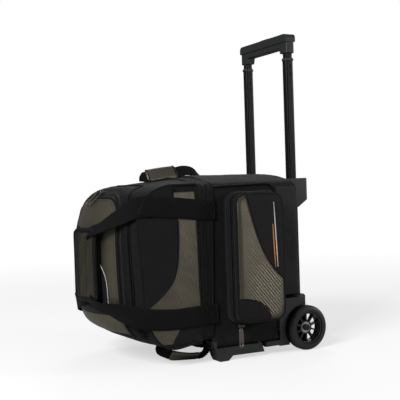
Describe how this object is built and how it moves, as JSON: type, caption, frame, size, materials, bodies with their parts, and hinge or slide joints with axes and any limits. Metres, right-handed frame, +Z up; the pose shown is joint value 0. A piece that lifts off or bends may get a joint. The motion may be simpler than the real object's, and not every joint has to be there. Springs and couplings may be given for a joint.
{
  "type": "wheeled bowling ball bag",
  "caption": "Upright wheeled bag for one bowling ball with a telescopic handle, side pockets, a zipped front door, carry straps and spoked wheels.",
  "frame": {"origin": "on the floor, midway across the bag and midway from the front of the carry wrap to the backs of the wheels", "axes": "+Z up, -Y towards the front door, +Y towards the handle and wheels, +X across the bag towards its right pocket"},
  "size_m": [0.36, 0.488, 0.653],
  "materials": {
    "black_fabric": "woven polyester",
    "bronze_vinyl": "ribbed coated vinyl",
    "black_webbing": "ribbed webbing",
    "zip_coil": "zip coil",
    "zip_metal": "gunmetal plated",
    "black_plastic": "fine moulded texture",
    "button_plastic": "polished",
    "black_tube": "black anodised",
    "tyre_urethane": "cast urethane",
    "rim_plastic": "moulded nylon",
    "steel": "zinc plated",
    "stiffener_board": "stiffener sheet",
    "foam": "cushion foam"
  },
  "bodies": {
    "bag": {"body_shell": "black_fabric", "base_board": "stiffener_board", "back_board": "stiffener_board", "ball_cup_foam": "foam", "gusset_bands": "black_fabric", "gusset_zipper": "zip_coil", "front_shell": "black_fabric", "right_pocket_shell": "black_fabric", "left_pocket_shell": "black_fabric", "pocket_zippers": "zip_coil", "right_carry_strap": "black_webbing", "left_carry_strap": "black_webbing", "right_wrap_pad": "bronze_vinyl", "left_wrap_pad": "bronze_vinyl", "outer_tubes": "black_tube", "handle_housing": "black_plastic", "tube_bracket": "black_plastic", "right_wheel_housing": "black_plastic", "left_wheel_housing": "black_plastic", "right_front_foot": "black_plastic", "left_front_foot": "black_plastic", "base_screws": "steel", "frame_screws": "steel", "axle_bolts": "steel", "axle_nuts": "steel", "axle_washers": "steel"},
    "middle_stage": {"right_middle_tube": "black_tube", "left_middle_tube": "black_tube", "middle_collars": "black_plastic"},
    "inner_stage": {"right_inner_tube": "black_tube", "left_inner_tube": "black_tube", "grip_lower": "black_plastic", "grip_upper": "black_plastic", "grip_screws": "steel", "button_spring": "steel"},
    "release": {"push_button": "button_plastic", "release_yoke": "steel"},
    "lock_pins": {"lock_pins": "steel"},
    "right_wheel": {"right_tyre": "tyre_urethane", "right_rim": "rim_plastic", "right_bearings": "steel"},
    "left_wheel": {"left_tyre": "tyre_urethane", "left_rim": "rim_plastic", "left_bearings": "steel"},
    "top_handle": {"top_handle_strap": "black_webbing", "top_handle_grip": "bronze_vinyl"},
    "bottom_handle": {"bottom_handle_strap": "black_webbing", "bottom_handle_wrap": "bronze_vinyl"},
    "front_door": {"front_door": "bronze_vinyl", "door_zipper": "zip_coil"},
    "right_door_slider": {"right_door_slider": "zip_metal"},
    "right_door_pull": {"right_door_pull": "zip_metal"},
    "right_pocket_lid": {"right_pocket_lid": "bronze_vinyl"},
    "right_pocket_slider": {"right_pocket_slider": "zip_metal"},
    "right_pocket_pull": {"right_pocket_pull": "zip_metal"},
    "left_door_slider": {"left_door_slider": "zip_metal"},
    "left_door_pull": {"left_door_pull": "zip_metal"},
    "left_pocket_lid": {"left_pocket_lid": "bronze_vinyl"},
    "left_pocket_slider": {"left_pocket_slider": "zip_metal"},
    "left_pocket_pull": {"left_pocket_pull": "zip_metal"}
  },
  "joints": [
    {"name": "middle_stage_slide", "type": "slide", "parent": "bag", "child": "middle_stage", "axis": [0, 0, 1], "range_m": [-0.23, 0]},
    {"name": "inner_stage_slide", "type": "slide", "parent": "middle_stage", "child": "inner_stage", "axis": [0, 0, 1], "range_m": [-0.01, 0.247]},
    {"name": "button_press", "type": "slide", "parent": "inner_stage", "child": "release", "axis": [0, 0, -1], "range_m": [0, 0.004], "deforming": ["button_spring"]},
    {"name": "lock_pin_draw", "type": "slide", "parent": "inner_stage", "child": "lock_pins", "axis": [-1, 0, 0], "range_m": [0, 0.003]},
    {"name": "right_wheel_spin", "type": "hinge", "parent": "bag", "child": "right_wheel", "pos_m": [0.139, 0.199, 0.045], "axis": [1, 0, 0], "continuous": true},
    {"name": "left_wheel_spin", "type": "hinge", "parent": "bag", "child": "left_wheel", "pos_m": [-0.139, 0.199, 0.045], "axis": [1, 0, 0], "continuous": true},
    {"name": "top_handle_flop", "type": "hinge", "parent": "bag", "child": "top_handle", "pos_m": [0, 0.04, 0.363], "axis": [0, 0.9993, 0.0365], "range_deg": [-30, 30], "deforming": ["top_handle_strap"]},
    {"name": "bottom_handle_swing", "type": "hinge", "parent": "bag", "child": "bottom_handle", "pos_m": [0.084, -0.057, 0.0315], "axis": [0, 1, 0], "range_deg": [-40, 40], "deforming": ["bottom_handle_strap"]},
    {"name": "front_door_hinge", "type": "hinge", "parent": "bag", "child": "front_door", "pos_m": [0, -0.1756, 0.0603], "axis": [1, 0, 0], "range_deg": [0, 90], "deforming": ["right_carry_strap", "left_carry_strap", "right_wrap_pad", "left_wrap_pad"]},
    {"name": "right_door_slider_run", "type": "slide", "parent": "front_door", "child": "right_door_slider", "axis": [1, 0, 0], "range_m": [0, 0.034]},
    {"name": "right_door_pull_swing", "type": "hinge", "parent": "right_door_slider", "child": "right_door_pull", "pos_m": [0.011, -0.18537, 0.32679], "axis": [1, 0, 0], "range_deg": [-95, 0]},
    {"name": "right_pocket_lid_hinge", "type": "hinge", "parent": "bag", "child": "right_pocket_lid", "pos_m": [0.158, 0.017, 0.1985], "axis": [0, 0, -1], "range_deg": [0, 100]},
    {"name": "right_pocket_slider_run", "type": "slide", "parent": "bag", "child": "right_pocket_slider", "axis": [0, 1, 0], "range_m": [0, 0.06]},
    {"name": "right_pocket_pull_swing", "type": "hinge", "parent": "right_pocket_slider", "child": "right_pocket_pull", "pos_m": [0.158, 0.035, 0.0644], "axis": [0, -1, 0], "range_deg": [-15, 90]},
    {"name": "left_door_slider_run", "type": "slide", "parent": "front_door", "child": "left_door_slider", "axis": [-1, 0, 0], "range_m": [0, 0.034]},
    {"name": "left_door_pull_swing", "type": "hinge", "parent": "left_door_slider", "child": "left_door_pull", "pos_m": [-0.011, -0.18537, 0.32679], "axis": [1, 0, 0], "range_deg": [-95, 0]},
    {"name": "left_pocket_lid_hinge", "type": "hinge", "parent": "bag", "child": "left_pocket_lid", "pos_m": [-0.158, 0.017, 0.1985], "axis": [0, 0, 1], "range_deg": [0, 100]},
    {"name": "left_pocket_slider_run", "type": "slide", "parent": "bag", "child": "left_pocket_slider", "axis": [0, 1, 0], "range_m": [0, 0.06]},
    {"name": "left_pocket_pull_swing", "type": "hinge", "parent": "left_pocket_slider", "child": "left_pocket_pull", "pos_m": [-0.158, 0.035, 0.0644], "axis": [0, 1, 0], "range_deg": [-15, 90]}
  ],
  "couplings": [
    {"joint": "lock_pin_draw", "follows": "button_press", "ratio": 0.75}
  ]
}
